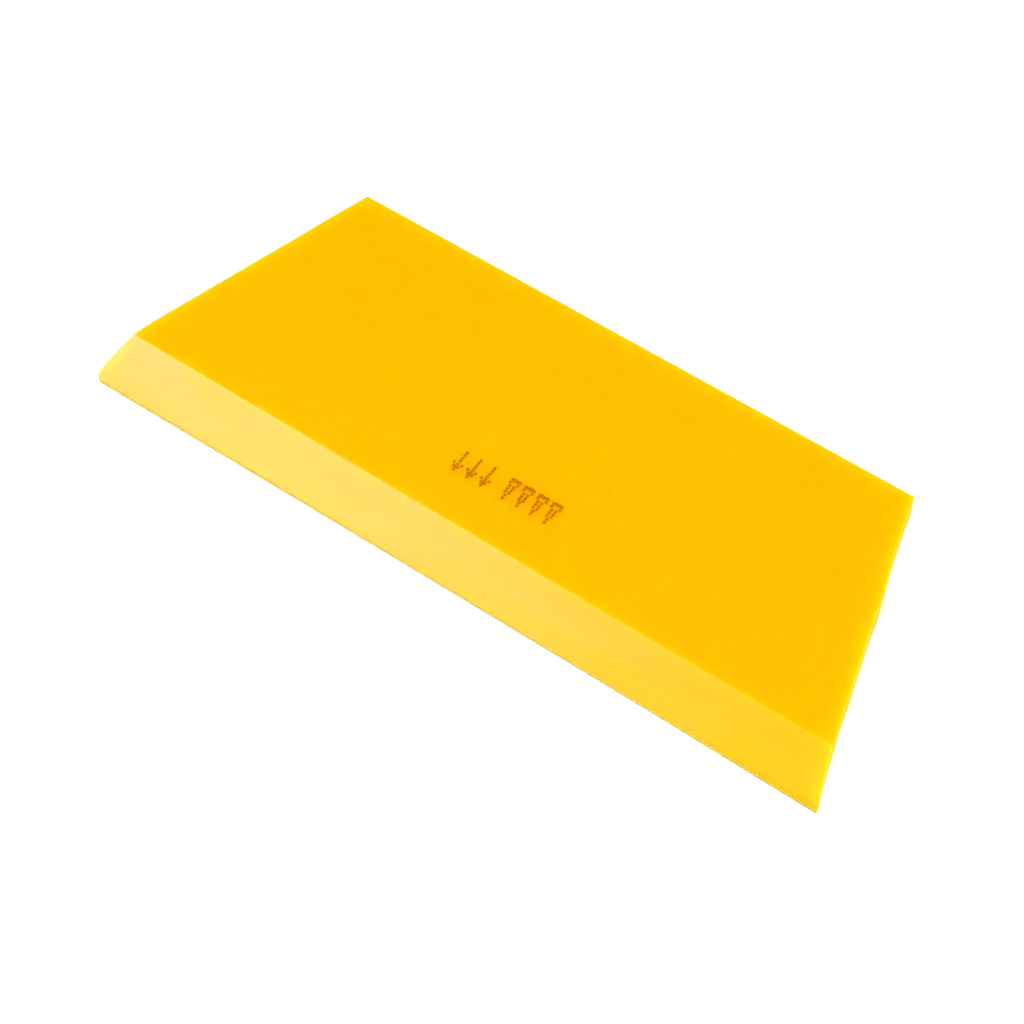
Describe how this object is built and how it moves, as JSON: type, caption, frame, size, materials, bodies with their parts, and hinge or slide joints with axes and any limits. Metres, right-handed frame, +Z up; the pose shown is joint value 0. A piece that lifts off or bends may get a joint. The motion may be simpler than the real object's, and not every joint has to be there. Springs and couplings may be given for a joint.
{
  "type": "squeegee blade",
  "caption": "Handheld trapezoid squeegee blade of solid yellow polyurethane, with one long bevelled edge for pressing film down and pushing water out.",
  "frame": {"origin": "middle of the length and of the depth, on the flat underside", "axes": "+X along the squeegee edge, -Y towards the squeegee edge, +Z up out of the printed top face"},
  "size_m": [0.1398, 0.054, 0.006],
  "materials": {
    "polyurethane": "smooth satin, slightly translucent, yellow",
    "ink": "thin brown dot-matrix coding ink"
  },
  "bodies": {
    "root": {"blade": "polyurethane"}
  },
  "joints": []
}
